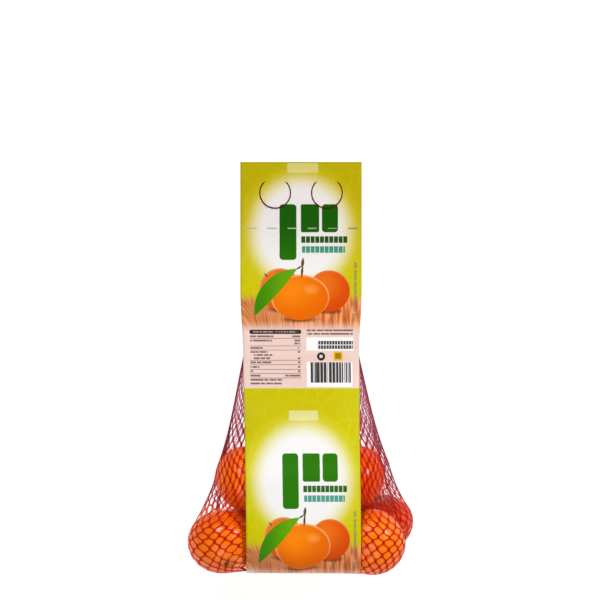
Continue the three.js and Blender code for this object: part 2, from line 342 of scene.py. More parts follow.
def settle(rays, reach, steps):
    """The skin's points, after each ray has moved many times towards the chords of its neighbours."""
    start, way, band = rays["start"], rays["way"], rays["band"]
    front, back = slice(0, band + 1), slice(band + rays["sides"], 2 * band + rays["sides"] + 1)
    right, left = slice(band + 1, back.start), slice(back.stop, None)
    around = np.full(start.shape[1], AROUND_BAND)
    around[right], around[left] = AROUND_RIGHT, AROUND_LEFT
    least = last_fruit(start, way)
    down = way[..., 2] < -1e-3
    most = np.where(down, (NET_FLOOR - start[..., 2]) / np.where(down, way[..., 2], 1), np.inf)
    stiffness = BAND_STIFFNESS / rays["finer"] ** 2
    reach[-1] = 0
    for _ in range(steps):
        skin = start + way * reach[..., None]
        inner = slice(1, -1)
        lengthwise = crossing(start[inner], way[inner], skin[:-2], skin[2:])
        beside = np.roll(skin, 1, 1)[inner], np.roll(skin, -1, 1)[inner]
        girthwise = crossing(start[inner], way[inner], *beside)
        reach[inner] = np.clip((lengthwise + around * girthwise) / (1 + around), least[inner], most[inner])
        for columns in (front, back):
            width = reach[inner, columns]
            width += stiffness * (width.max(axis=1, keepdims=True) - width)
        reach[rays["end_rings"] : -1, back] = most[rays["end_rings"] : -1, back]
        reach[inner] = np.clip(reach[inner], least[inner], most[inner])
        seam = crossing(start[0, front], way[0, front], skin[1, front], skin[1, back][::-1])
        seam = np.maximum(seam, least[0, front])
        seam = seam + SEAM_STIFFNESS * (seam.max() - seam)
        reach[0, front], reach[0, back] = seam, seam[::-1]
        reach[0, right], reach[0, left] = seam[-1], seam[0]
    return reach, start + way * reach[..., None]


def refine(reach, finer):
    """The same grid of numbers with steps that are finer, in straight lines between the old ones."""
    rows = np.linspace(0, len(reach) - 1, (len(reach) - 1) * finer + 1)
    low = np.minimum(rows.astype(int), len(reach) - 2)
    reach = mix(reach[low], reach[low + 1], (rows - low)[:, None])
    columns = np.arange(reach.shape[1] * finer) / finer
    low = columns.astype(int)
    return mix(reach[:, low], reach[:, (low + 1) % reach.shape[1]], columns - low)


coarse = make_rays(1)
first_reach = np.maximum(last_fruit(coarse["start"], coarse["way"]), FIRST_REACH)
coarse_reach, _ = settle(coarse, first_reach, COARSE_STEPS)
fine = make_rays(FINER)
_, skin = settle(fine, refine(coarse_reach, FINER), FINE_STEPS)
print("skin:", skin.shape[:2], "from", skin.min(axis=(0, 1)).round(1), "to", skin.max(axis=(0, 1)).round(1))

# %% [markdown]
# ## A small language for materials
#
# A material is a tree of small steps, the nodes. One function adds a node: it sets the node's
# properties, fills its inputs with numbers or with the outputs of other nodes, and gives back one of its
# own outputs. Colours are written as sRGB hex values and turned to linear light. They are laid over one
# another as a painter would: each layer has a mask, which is 1 where the layer shows and 0 where it
# doesn't, a thickness, and a colour.
#
# A Map Range node turns any measure into a mask. Its inputs are the measure, the two values between
# which the mask changes, and what it is at each of them, which is 0 and 1 unless it is given.

# %% Colours
def linear(colour):
    """sRGB to linear: c / 12.92 when dark, and ((c + 0.055) / 1.055) to the power 2.4 otherwise."""
    channels = np.array([int(colour[k : k + 2], 16) for k in (1, 3, 5)]) / 255
    light = np.where(channels <= 0.04045, channels / 12.92, ((channels + 0.055) / 1.055) ** 2.4)
    return (*light.tolist(), 1.0)


print("a middle grey in linear light:", round(linear("#808080")[0], 3))

# %% Nodes and layers
S_CURVE = dict(interpolation_type="SMOOTHSTEP")


def add(tree, kind, inputs=(), out=0, **settings):
    """Adds a node with its settings and links, and gives back one of its outputs.

    The inputs come in the node's own order, or by name or number. Each is a value, or another node's
    output, which is then linked.
    """
    node = tree.nodes.new("ShaderNode" + kind)
    for name, value in settings.items():
        setattr(node, name, value)
    numbered = inputs if isinstance(inputs, dict) else dict(enumerate(inputs))
    for name, value in numbered.items():
        if isinstance(value, bpy.types.NodeSocket):
            tree.links.new(value, node.inputs[name])
        else:
            node.inputs[name].default_value = value
    return node.outputs[out]


def painted(tree, ground, layers):
    """Colours laid over a ground in turn. A layer is a mask, a thickness and a colour.

    Each colour shows by its mask times its thickness. Both may be numbers or outputs, and a colour is a
    hex value or an output.
    """
    under = linear(ground) if isinstance(ground, str) else ground
    for mask, thickness, colour in layers:
        share = add(tree, "Math", [mask, thickness], operation="MULTIPLY")
        over = linear(colour) if isinstance(colour, str) else colour
        under = add(tree, "Mix", {0: share, 6: under, 7: over}, out=2, data_type="RGBA")
    return under


print("settings of an S-curve:", S_CURVE)

# %% Materials, and the floor's first
def new_material(name, finish):
    """A material, its tree and its main shader, whose inputs are set by name."""
    material = bpy.data.materials.new(name)
    material.use_nodes = True
    tree = material.node_tree
    shader = tree.nodes["Principled BSDF"]
    for socket, value in finish.items():
        shader.inputs[socket].default_value = value
    return material, tree, shader


def dress(pieces, material):
    """Puts a material on its pieces, and says how many nodes it has."""
    for piece in pieces:
        piece.data.materials.clear()
        piece.data.materials.append(material)
    names = ", ".join(piece.name for piece in pieces)
    print(material.name, "on", names, "has", len(material.node_tree.nodes), "nodes")


# White acrylic with light behind it glows evenly, so the ground is white and shadows on it are faint.
ACRYLIC_FINISH = {"Base Color": linear("#7c7c7c"), "Roughness": 0.9}
ACRYLIC_FINISH |= {"Emission Color": linear("#ffffff"), "Emission Strength": 0.9}
studio_white, tree, shader = new_material("backlit_white_acrylic", ACRYLIC_FINISH)
dress([floor], studio_white)

# %% [markdown]
# ## The mandarins
#
# A mandarin is wider than it is high. It is dimpled at the stem, with shallow furrows that run out of
# the dimple, and a little flattened at the other end. Its surface is one function of two angles: how far
# from the stem, and how far round. All thirteen are made at once as one array, each turned to its own
# stem, and each is a little uneven in its own way.

# %% The fruit
# Steps from the stem to the far end, and round the fruit.
FROM_STEM, ROUND = 60, 84
# Depths and heights are shares of the radius at the equator.
DIMPLE_DEPTH, DIMPLE_RIM = 0.085, 0.022
NAVEL_DEPTH = 0.05
FURROW_DEPTH = 0.016
UNEVENNESS, SHRINKAGE = 0.007, 0.004
# How many millimetres the deepest points of the dimple and the navel lie inside the first and last rings.
DIMPLE_END, NAVEL_END = 0.4, 0.2


def turned_to(axis):
    """Three unit vectors at right angles, the last one along the axis."""
    side = unit(np.cross(axis, (0.31, 0.84, 0.45)))
    return np.stack([side, np.cross(axis, side), axis])


def bell(angle, middle, width):
    """1 at the middle and falling off on both sides: e to the power of −((angle − middle) / width)²."""
    return np.exp(-(((angle - middle) / width) ** 2))


def mandarin(fruit, seed):
    """Flattened ball: a dimple and furrows at the stem, a dent at the navel, and soft unevenness.

    Theta is the angle from the stem and phi the angle round it. The width is the equator's radius times
    the sine of theta, and the height the pole's radius times its cosine, less the dents.
    """
    theta = np.linspace(0, np.pi, FROM_STEM + 1)[1:-1, None]
    phi = np.linspace(0, 2 * np.pi, ROUND, endpoint=False)[None, :]
    random = np.random.default_rng(seed)
    folds = random.integers(7, 11)
    dimple = DIMPLE_DEPTH * bell(theta, 0, 0.2) - DIMPLE_RIM * bell(theta, 0.5, 0.2)
    navel = NAVEL_DEPTH * bell(theta, np.pi, 0.26)
    furrow = FURROW_DEPTH * np.cos(folds * phi + random.uniform(0, 6)) * bell(theta, 0.3, 0.26)
    height = np.cos(theta) * (fruit["pole"] - fruit["equator"] * (dimple + navel)) + 0 * phi
    width = fruit["equator"] * np.sin(theta) * (1 + furrow)
    local = np.stack([width * np.cos(phi), width * np.sin(phi), height], axis=-1)
    local *= 1 + UNEVENNESS * ripple(unit(local) * 10, 9, seed)[..., None] - SHRINKAGE
    ends = np.array([[0, 0, height[0].mean() - DIMPLE_END], [0, 0, height[-1].mean() + NAVEL_END]])
    points = np.concatenate([local.reshape(-1, 3), ends]) @ turned_to(fruit["stem"]) + fruit["centre"]
    angles = np.concatenate([(theta + 0 * phi).ravel(), [0, np.pi]])
    return points, angles


def ball_faces():
    """Quads between the rows, and a fan of triangles at each end."""
    rows = FROM_STEM - 1
    body = grid_faces(rows, ROUND, wrap=True)[:, ::-1]
    ring = np.arange(ROUND)
    following = (ring + 1) % ROUND
    top, bottom = rows * ROUND, rows * ROUND + 1
    last = (rows - 1) * ROUND
    caps = [(top, a, b) for a, b in zip(ring, following)]
    caps += [(bottom, last + b, last + a) for a, b in zip(ring, following)]
    return body, np.array(caps)


body_faces, cap_faces = ball_faces()
parts = [mandarin(fruit, 11 + k) for k, fruit in enumerate(pile)]
count = len(parts[0][0])
faces = []
for k in range(len(pile)):
    faces += (body_faces + k * count).tolist() + (cap_faces + k * count).tolist()
points = np.concatenate([part[0] for part in parts])
mandarins = make_piece("mandarins", points, faces, "net_with_mandarins")
note(mandarins, "from_stem", np.concatenate([part[1] for part in parts]))
note(mandarins, "ripeness", np.repeat([fruit["ripe"] for fruit in pile], count))

# %% [markdown]
# ## Peel
#
# Citrus peel is a thin waxy skin over oil glands. Each gland is a pit about a millimetre apart from the
# next, and the wax gives a soft gloss. The colour is deep orange, yellower on some fruit and redder on
# others, with slow patches, a darker speck at each gland, and a yellow-green hint round the stem. A
# little light goes into the skin and comes out again, which keeps its shaded side warm.

# %% Peel material
# Millimetres from gland to gland, and across the swellings under the skin and the patches of colour.
GLAND_SPACING = 1.25
SWELL_SIZE = 5.0
PATCH_SIZE = 22.0
GLAND_DEPTH = 0.35

PEEL_FINISH = {"Roughness": 0.19, "IOR": 1.46, "Specular IOR Level": 0.35, "Subsurface Weight": 0.15}
PEEL_FINISH |= {"Subsurface Radius": (1.0, 0.35, 0.1), "Subsurface Scale": 2.5 * MM}
peel, tree, shader = new_material("citrus_peel", PEEL_FINISH)
place = add(tree, "TexCoord", out="Object")
ripeness = add(tree, "Attribute", out="Fac", attribute_name="ripeness")
from_stem = add(tree, "Attribute", out="Fac", attribute_name="from_stem")
patches = add(tree, "TexNoise", {"Vector": place, "Scale": 1 / (PATCH_SIZE * MM), "Detail": 3})
shift = add(tree, "Math", [patches, 0.5], operation="SUBTRACT")
tone = add(tree, "Math", [shift, 0.7, ripeness], operation="MULTIPLY_ADD")
redder = add(tree, "MapRange", [tone], **S_CURVE)
at_stem = add(tree, "MapRange", [from_stem, 0.42, 0.1], **S_CURVE)
gland = add(tree, "TexVoronoi", {"Vector": place, "Scale": 1 / (GLAND_SPACING * MM)})
off_pit = add(tree, "MapRange", [gland, 0, 0.55], **S_CURVE)
pit = add(tree, "Math", [1, off_pit], operation="SUBTRACT")
layers = [(redder, 1, "#e24a02"), (at_stem, 0.45, "#c99a1c"), (pit, 0.22, "#c9500a")]
tree.links.new(painted(tree, "#ff8600", layers), shader.inputs["Base Color"])

swell = add(tree, "TexNoise", {"Vector": place, "Scale": 1 / (SWELL_SIZE * MM), "Detail": 2})
height = add(tree, "Math", [swell, 0.8, off_pit], operation="MULTIPLY_ADD")
bump = add(tree, "Bump", {"Height": height, "Strength": 0.35, "Distance": GLAND_DEPTH * MM})
tree.links.new(bump, shader.inputs["Normal"])
dress([mandarins], peel)

# %% [markdown]
# ## Stem ends
#
# The fruit was snipped from its twig, so a small dry green star, the calyx, and a stub of stem sit in
# each dimple. The star is a disc whose edge goes in and out five times and whose middle rises to the
# stub: a height for each distance from the middle, carried round.

# %% The calyx
CALYX_RADIUS = 3.6
CALYX_ROUND = 40
LOBE_COUNT, LOBE_DEPTH = 5, 0.24
# How far the star's foot sinks into the peel.
CALYX_SINK = 0.3


def calyx(fruit, seed):
    """A profile from the rim over the lobes and up the stub, carried round; the rim has five lobes."""
    random = np.random.default_rng(seed)
    reach = np.array([0.97, 1.0, 0.72, 0.46, 0.36, 0.33, 0.2, 0.02])[:, None]
    rise = np.array([-0.9, -0.2, 0.5, 0.7, 1.1, 1.9, 2.1, 2.15])[:, None]
    phi = np.linspace(0, 2 * np.pi, CALYX_ROUND, endpoint=False)[None, :]
    lobes = 1 + LOBE_DEPTH * np.cos(LOBE_COUNT * phi + random.uniform(0, 6)) * smooth(0.4, 1.0, reach)
    radius = CALYX_RADIUS * reach * lobes
    foot = fruit["pole"] - DIMPLE_DEPTH * fruit["equator"] - CALYX_SINK
    local = np.stack([radius * np.cos(phi), radius * np.sin(phi), foot + rise + 0 * phi], axis=-1)
    return local @ turned_to(fruit["stem"]) + fruit["centre"]


stars = np.stack([calyx(fruit, 40 + k) for k, fruit in enumerate(pile)])
rows, columns = stars.shape[1:3]
star_faces = []
for k in range(len(pile)):
    first = k * rows * columns
    star_faces += (grid_faces(rows, columns, wrap=True) + first).tolist()
    star_faces.append((np.arange(columns)[::-1] + first).tolist())
    star_faces.append((np.arange(columns) + first + (rows - 1) * columns).tolist())
calyxes = make_piece("calyxes", stars, star_faces, "net_with_mandarins")

# %% [markdown]
# Once cut, the calyx dries within days. It turns matt, wrinkled, and mottled olive and brown, in specks
# of a millimetre or two.

# %% Stem material
MOTTLE_SIZE = 1.5

dry_stem, tree, shader = new_material("dry_green_stem", {"Roughness": 0.75})
place = add(tree, "TexCoord", out="Object")
mottle = add(tree, "TexNoise", {"Vector": place, "Scale": 1 / (MOTTLE_SIZE * MM), "Detail": 4})
browner = add(tree, "MapRange", [mottle, 0.35, 0.65], **S_CURVE)
tree.links.new(painted(tree, "#3d4a1c", [(browner, 1, "#7b7a3a")]), shader.inputs["Base Color"])
bump = add(tree, "Bump", {"Height": mottle, "Strength": 0.6, "Distance": 0.3 * MM})
tree.links.new(bump, shader.inputs["Normal"])
dress([calyxes], dry_stem)

# %% [markdown]
# ## The net
#
# The net is knitted from plastic yarn. Every strand runs the whole length of the bag and swings from
# side to side, so that it touches its left neighbour, then its right one. Where two strands touch they
# are knitted together in a thick knot, and between the knots the cells open.
#
# The net lies on the skin's two sides. Each side becomes a grid of its own with evenly spaced columns,
# and a helper reads any place on it, between the columns and the rows.

# %% The two sides of the skin
# How many columns each side's own grid has.
SIDE_COLUMNS = 121


def side_columns(right):
    """The skin's columns round one side, from just inside the front band's edge to just inside the back's."""
    first, last = fine["band"], fine["band"] + fine["sides"]
    if right:
        return np.arange(first - 1, last + 2)
    total = skin.shape[1]
    return np.arange(total + 1, last + fine["band"] - 2, -1) % total


def normals_of(points):
    """Unit vectors square to a grid of points: the step across, crossed with the step along."""
    along, across = np.gradient(points, axis=0), np.gradient(points, axis=1)
    return unit(np.cross(across, along))


def sample(grid, rows, columns):
    """The grid's values at places between its rows and columns, in straight lines."""
    row = np.clip(rows.astype(int), 0, grid.shape[0] - 2)
    column = np.clip(columns.astype(int), 0, grid.shape[1] - 2)
    down, across = (rows - row)[..., None], (columns - column)[..., None]
    lower = mix(grid[row, column], grid[row, column + 1], across)
    upper = mix(grid[row + 1, column], grid[row + 1, column + 1], across)
    return mix(lower, upper, down)


def evened(grid, count):
    """The same rows with count columns, evenly spaced along each row, and the rows' lengths."""
    steps = np.linalg.norm(np.diff(grid, axis=1), axis=-1) + 1e-3
    reached = np.concatenate([np.zeros((len(grid), 1)), np.cumsum(steps, axis=1)], axis=1)
    shares = np.linspace(0, 1, count)
    places = np.arange(grid.shape[1])
    columns = np.array([np.interp(shares * row[-1], row, places) for row in reached])
    rows = np.broadcast_to(np.arange(len(grid))[:, None], columns.shape)
    return sample(grid, rows.astype(float), columns), reached[:, -1]


for right in (True, False):
    _, girth = evened(skin[:, side_columns(right)], SIDE_COLUMNS)
    print("right" if right else "left", "side:", round(girth.max(), 1), "mm round at most")

# %% [markdown]
# ## Cells that open and close
#
# A strand can't stretch. Where the net is pulled wide over the fruit the cells are short and square, and
# where it gathers to the header they close to long slits. So the height of a cell follows from its width
# by Pythagoras, and each strand counts the cells that it has passed on its way up the bag.

# %% Cells along the strands
CELLS_ACROSS = 18
# The strand's length between two knots, and the least that half a cell's height comes to, in millimetres.
STRAND_LENGTH = 7.9
LEAST_CELL = 3.0
# The most that two neighbouring strands may differ in cells passed, so that neither runs back on itself.
MOST_SHEAR = 0.15
# Crowding is how far the strands move round the girth: above 0 the cells next to the front band widen.
CROWD_RINGS = [0, 30, 50, 70, 95, 120]
CROWDING = [0.05, 0.05, -0.08, -0.06, 0.03, 0.0]


def side_places(right):
    """Where each strand's even line crosses each ring, and half the width of its cells there.

    Strand w, from 0 at the front band to 1 at the back one, lies at w + crowd · sin(πw) of the girth.
    """
    grid, girth = evened(skin[:, side_columns(right)], SIDE_COLUMNS)
    strand = np.arange(2 * CELLS_ACROSS + 1) / (2 * CELLS_ACROSS)
    crowd = np.interp(np.arange(len(grid)), CROWD_RINGS, CROWDING)[:, None]
    share = strand + crowd * np.sin(np.pi * strand)
    half_cell = girth[:, None] * (1 + crowd * np.pi * np.cos(np.pi * strand)) / (2 * CELLS_ACROSS)
    return grid, girth, share, half_cell


def cells_passed(grid, share, half_cell):
    """How many cells each strand has passed at each ring: the length along it over the cell's height.

    A cell's height follows from its half width a and the strand between two knots: 2 √(strand² − a²).
    Counting from the front band, each strand then keeps within the most shear of the one before it.
    """
    rows = np.broadcast_to(np.arange(len(grid))[:, None], share.shape).astype(float)
    line = sample(grid, rows, share * (grid.shape[1] - 1))
    step = np.linalg.norm(np.diff(line, axis=0), axis=-1)
    height = 2 * np.sqrt(np.maximum(STRAND_LENGTH**2 - half_cell**2, LEAST_CELL**2))
    passed = np.cumsum(2 * step / (height[1:] + height[:-1]), axis=0)
    passed = np.concatenate([np.zeros((1, share.shape[1])), passed])
    shear = np.clip(np.diff(passed, axis=1), -MOST_SHEAR, MOST_SHEAR)
    return np.cumsum(np.concatenate([passed[:, :1], shear], axis=1), axis=1)


def between(table):
    """The mean of each column and its neighbour, with the outer columns kept at both ends."""
    return np.concatenate([table[:, :1], (table[:, 1:] + table[:, :-1]) / 2, table[:, -1:]], axis=1)


grid, _, share, half_cell = side_places(True)
passed_right = cells_passed(grid, share, half_cell)
print("cells from end to end, for some of the strands on the right:", passed_right[-1, ::9].round(1))

# %% [markdown]
# ## Strands and knots
#
# A strand's middle line swings between the middles of the gaps on its left and right, and a small oval
# section is carried along it. Towards the header the cells close, so the strands are bunched and drawn
# thin. Each strand also keeps a number for the painted sheen on it, which its material reads.

# %% The strands' middle lines
STEPS_PER_CELL = 16
STRAND_HALF_WIDTH, STRAND_HALF_THICKNESS = 0.66, 0.36
# A swing is cut off at both ends, so that two strands run side by side for a while in their knot. There
# each one's middle is this share of its half width from the middle of the gap: they are pressed together.
SWING_CUT = 1.25
KNOT_PRESS = 0.7
# For the ripples a side is about this long round, and a ring this high, in millimetres.
SIDE_LENGTH, RING_HEIGHT = 150, 1.7
# How far the ripples move the knots, in shares of the side and in rings, and their wavelengths.
LONG_SLIP, SHORT_SLIP, RING_SLIP = 0.013, 0.005, 1.1
LONG_WAVE, SHORT_WAVE, RING_WAVE = 75, 28, 50


def strand_lines(passed, share, girth, seed):
    """The place round the side, the ring and the swing of each strand at each step.

    The gap between two strands has its own count of cells passed, the mean of theirs, and its own middle
    line. A strand swings between the gap on its left and the one on its right: it takes both the ring and
    the place from the gap it leans to, so that two strands meet at each knot. Its neighbours swing the
    other way. Slow ripples then move both strands of a knot alike.
    """
    gap_passed, gap_share = between(passed), between(share)
    rings = np.arange(len(share))
    strands = share.shape[1]
    phase = passed[-1][:, None] * np.linspace(0, 1, int(passed[-1].mean() * STEPS_PER_CELL))
    sign = np.where(np.arange(strands) % 2, 1, -1)[:, None]
    swing = np.clip(SWING_CUT * np.sin(2 * np.pi * phase), -1, 1) * sign

    def at_gap(first):
        """The ring and the place in the gap beside each strand, for each step's phase."""
        ring = np.array([np.interp(phase[k], gap_passed[:, k + first], rings) for k in range(strands)])
        place = np.array([np.interp(ring[k], rings, gap_share[:, k + first]) for k in range(strands)])
        return ring, place

    left_ring, left_place = at_gap(0)
    right_ring, right_place = at_gap(1)
    lean = (1 + swing) / 2
    row = mix(left_ring, right_ring, lean)
    apart = STRAND_HALF_WIDTH * KNOT_PRESS / np.interp(row, rings, girth)
    apart = np.minimum(apart, (right_place - left_place) / 4)
    place = mix(left_place + apart, right_place - apart, lean)
    field = np.stack([place * SIDE_LENGTH, row * RING_HEIGHT], axis=-1)
    place = place + LONG_SLIP * ripple(field, LONG_WAVE, seed)
    place = place + SHORT_SLIP * ripple(field, SHORT_WAVE, seed + 1)
    row = row + RING_SLIP * ripple(field, RING_WAVE, seed + 2) * np.sin(np.pi * row / rings[-1])
    return np.clip(place, 0, 1), np.clip(row, 0, rings[-1]), swing


print("a strand swings", round(passed_right[-1].mean(), 1), "times on its way up the right side")

# %% The strands' sections
STRAND_SIDES = 6
STRAND_DEPTH = 0.45
KNOT_SWELL = 0.45
# Half widths of the cells at which the strands count as wholly apart, and as wholly bunched.
BUNCHED_CELLS = [3.7, 1.3]
BUNCHED_THINNER = 0.47
# A strand gets its painted sheen where it is this many millimetres off the fruit, and past these rings
# towards the header.
SHEEN_OFF_FRUIT = [1.5, 9.0]
SHEEN_RINGS = [35, 55]


def off_fruit(points):
    """How far points are from the nearest fruit: the length of the gap over the radii, less one."""
    nearest = np.full(points.shape[:-1], np.inf)
    for fruit in pile:
        gap = points - fruit["centre"]
        up = gap @ fruit["stem"]
        across = np.sqrt(np.maximum((gap * gap).sum(-1) - up * up, 0))
        reach = np.hypot(across / fruit["equator"], up / fruit["pole"])
        nearest = np.minimum(nearest, (reach - 1) * fruit["equator"])
    return nearest


def net_side(right, seed):
    """Every strand of one side, strands × steps along × points round the section, and the share of painted
    sheen on it.

    The section's width lies along the net and its height points out of it. It swells at the knots, and
    is drawn thin where the half width of the cells is small and the strands are bunched.
    """
    grid, girth, share, half_cell = side_places(right)
    place, row, swing = strand_lines(cells_passed(grid, share, half_cell), share, girth, seed)
    column = place * (grid.shape[1] - 1)
    out = unit(sample(normals_of(grid) * (1 if right else -1), row, column))
    middle = sample(grid, row, column) - out * STRAND_DEPTH
    ahead = unit(np.gradient(middle, axis=1))
    sideways = unit(np.cross(ahead, out))
    turn = np.linspace(0, 2 * np.pi, STRAND_SIDES, endpoint=False)[:, None]
    rings = np.arange(len(grid))
    room = np.array([np.interp(row[k], rings, half_cell[:, k]) for k in range(len(row))])
    bunched = 1 - smooth(*BUNCHED_CELLS[::-1], room)
    knot = smooth(0.7, 1.0, np.abs(swing)) * (1 - bunched)
    half_width = STRAND_HALF_WIDTH * (1 + KNOT_SWELL * knot)
    drawn = 1 - BUNCHED_THINNER * bunched
    width = np.cos(turn) * (sideways * (half_width * drawn)[..., None])[:, :, None]
    height = np.sin(turn) * (out * (STRAND_HALF_THICKNESS * drawn)[..., None])[:, :, None]
    # Painted sheen: 1 on strands that are off the fruit and towards the header, where the material paints
    # them paler.
    painted_sheen = smooth(*SHEEN_OFF_FRUIT, off_fruit(middle)) * smooth(*SHEEN_RINGS, row)
    return middle[:, :, None] + width + height, np.repeat(painted_sheen, STRAND_SIDES)


def strand_faces(strands, steps):
    """Tubes with closed ends, one for each strand."""
    size = steps * STRAND_SIDES
    tube = grid_faces(steps, STRAND_SIDES, wrap=True)
    faces = (tube + np.arange(strands)[:, None, None] * size).reshape(-1, 4).tolist()
    ends = np.arange(STRAND_SIDES)
    for k in range(strands):
        faces.append((ends[::-1] + k * size).tolist())
        faces.append((ends + (k + 1) * size - STRAND_SIDES).tolist())
    return faces


nets = []
for name, right, seed in (("net_right", True, 60), ("net_left", False, 70)):
    tubes, painted_sheen = net_side(right, seed)
    nets.append(make_piece(name, tubes, strand_faces(*tubes.shape[:2]), "net_with_mandarins"))
    note(nets[-1], "painted_sheen", painted_sheen)

# %% [markdown]
# ## Yarn
#
# The yarn is clear polyethylene dyed raspberry red. Most light goes through it and takes on its colour,
# so it looks pink against a pale ground, blood red on the orange fruit, and dark where strands overlap.
# The rest is scattered back or shines off its surface. On the fruit the yarn is clear. Off the fruit, towards
# the header, it is painted a paler dusty mauve and lets a little less light through: a painted sheen of the
# bunched strands against the white ground.

# %% Net material
# Millimetres across the paler streaks in the dye.
STREAK_SIZE = 3.0

YARN_FINISH = {"Roughness": 0.25, "IOR": 1.51, "Specular IOR Level": 0.6}
yarn, tree, shader = new_material("dyed_polyethylene_yarn", YARN_FINISH)
place = add(tree, "TexCoord", out="Object")
painted_sheen = add(tree, "Attribute", out="Fac", attribute_name="painted_sheen")
streaks = add(tree, "TexNoise", {"Vector": place, "Scale": 1 / (STREAK_SIZE * MM), "Detail": 2})
paler = add(tree, "MapRange", [streaks, 0.3, 0.7], **S_CURVE)
# Off the fruit the yarn is painted paler and mauve: painted sheen of the bunched strands against the white
# ground.
scattered_back = painted(tree, "#a81a10", [(paler, 1, "#c83424"), (painted_sheen, 1, "#cc5a74")])
tree.links.new(scattered_back, shader.inputs["Base Color"])
dye = painted(tree, "#f8bcae", [(painted_sheen, 1, "#e0a8b8")])
filtered = add(tree, "BsdfTransparent", {"Color": dye})
passed = add(tree, "MapRange", [painted_sheen, 0, 1, 0.88, 0.8], **S_CURVE)
through = add(tree, "MixShader", [passed, shader.outputs[0], filtered])
tree.links.new(through, tree.nodes["Material Output"].inputs["Surface"])
dress(nets, yarn)

# %% [markdown]
# ## The film bands
#
# The bands are thin printed film, stiff across but free to bend lengthwise. Each is a grid of rows: over
# the skin, and on along the flat header. The front band goes on round the bottom end and laps the back
# one. Pushed out along its normals by different amounts, one grid gives the film's place over the net,
# and both faces of a closed thin sheet.

# %% Rows of the bands
# How far the front band laps the back one, and how far its middle lies off the skin there and elsewhere.
LAP_RINGS = 6
OVER_LAP = 2 * CLEARANCE + FILM_SPACE + FILM_SPACE / 2
OVER_NET = CLEARANCE + FILM_SPACE / 2
# The way in which the front band comes down to the header, and the space between the header's rows.
HEADER_EASE = 24.0
ROW_STEP = 2.5


def header_rows(y, z):
    """Straight rows across the band at places along the header, with a height for each."""
    side = np.linspace(-1, 1, fine["band"] + 1)
    x = band_x(y[:, None], side)
    return np.stack(np.broadcast_arrays(x, y[:, None], z[:, None]), axis=-1)


def widened(points, finer=2):
    """More columns between the old ones, on smooth curves through them (Catmull-Rom)."""
    count = points.shape[1]
    column = np.linspace(0, count - 1, (count - 1) * finer + 1)
    low = np.minimum(column.astype(int), count - 2)
    t = (column - low)[:, None]
    a, b, c, d = (points[:, np.clip(low + k, 0, count - 1)] for k in (-1, 0, 1, 2))
    return 0.5 * (2 * b + (c - a) * t + (2 * a - 5 * b + 4 * c - d) * t**2 + (3 * b - a - 3 * c + d) * t**3)


band_count, side_count = fine["band"], fine["sides"]
front_columns = np.arange(band_count + 1)
back_columns = np.arange(2 * band_count + side_count, band_count + side_count - 1, -1)
header_y = np.append(np.arange(NET_TOP + 2, HEADER_TOP - 1, ROW_STEP), HEADER_TOP)

lap = skin[LAP_RINGS:0:-1][:, back_columns]
over = skin[:-1, front_columns]
ease = 1 - smooth(NET_TOP, NET_TOP + HEADER_EASE, header_y)
flat = header_rows(header_y, NET_FLOOR - CLEARANCE + (SEAM_EDGE - NET_FLOOR + CLEARANCE) * ease)
front_grid = widened(np.concatenate([lap, over, flat]))
over_away = mix(OVER_LAP, OVER_NET, smooth(0, LAP_RINGS + 4, np.arange(len(over))))
front_away = np.concatenate([np.full(len(lap), OVER_LAP), over_away, np.full(len(flat), OVER_NET)])

under = skin[-2:0:-1][:, back_columns]
flat = header_rows(header_y[::-1], np.full(len(header_y), NET_FLOOR))
back_grid = widened(np.concatenate([flat, under]))
back_away = np.full(len(back_grid), OVER_NET)
print("front band", front_grid.shape[:2], "back band", back_grid.shape[:2])

# %% [markdown]
# ## Where the print lies
#
# The print is laid out in millimetres: across the film, and along it. Across, the print keeps the
# film's full width. Along, it follows the bag's length as seen from above, a little closer together
# over the fruit. Where the film turns down the end of the pile it goes on by the length of the film
# itself. Each corner of each face keeps that place in a UV map.

# %% A band's mesh
FILM_THICKNESS = 0.14
HEADER_RIPPLE = 0.22
PRINT_HALF = BAND_HALF["header"]
# The film counts as turned down where it comes this near to the end of the bag.
TURN_MARGIN = 0.35
# Places along the bag, and the places on the print that lie there.
BAG_MARKS = [-181.0, -176.0, -74.0, HEADER_TOP]
PRINT_MARKS = [-183.5, -179.8, -74.0, HEADER_TOP]


def print_places(grid, downwards):
    """Across and along for each point of a grid whose rows run towards −Y, or towards +Y."""
    rows = grid if downwards else grid[::-1]
    y = rows[..., 1].mean(axis=1)
    step = np.linalg.norm(np.diff(rows, axis=0), axis=-1).mean(axis=1)
    turned = np.argmax(y < y.min() + TURN_MARGIN)
    along = np.interp(y, BAG_MARKS, PRINT_MARKS)
    along[turned:] = along[turned - 1] - np.cumsum(step[turned - 1 :])
    along = along if downwards else along[::-1]
    across = np.linspace(-PRINT_HALF, PRINT_HALF, grid.shape[1])
    return np.stack(np.broadcast_arrays(across, along[:, None]), axis=-1)


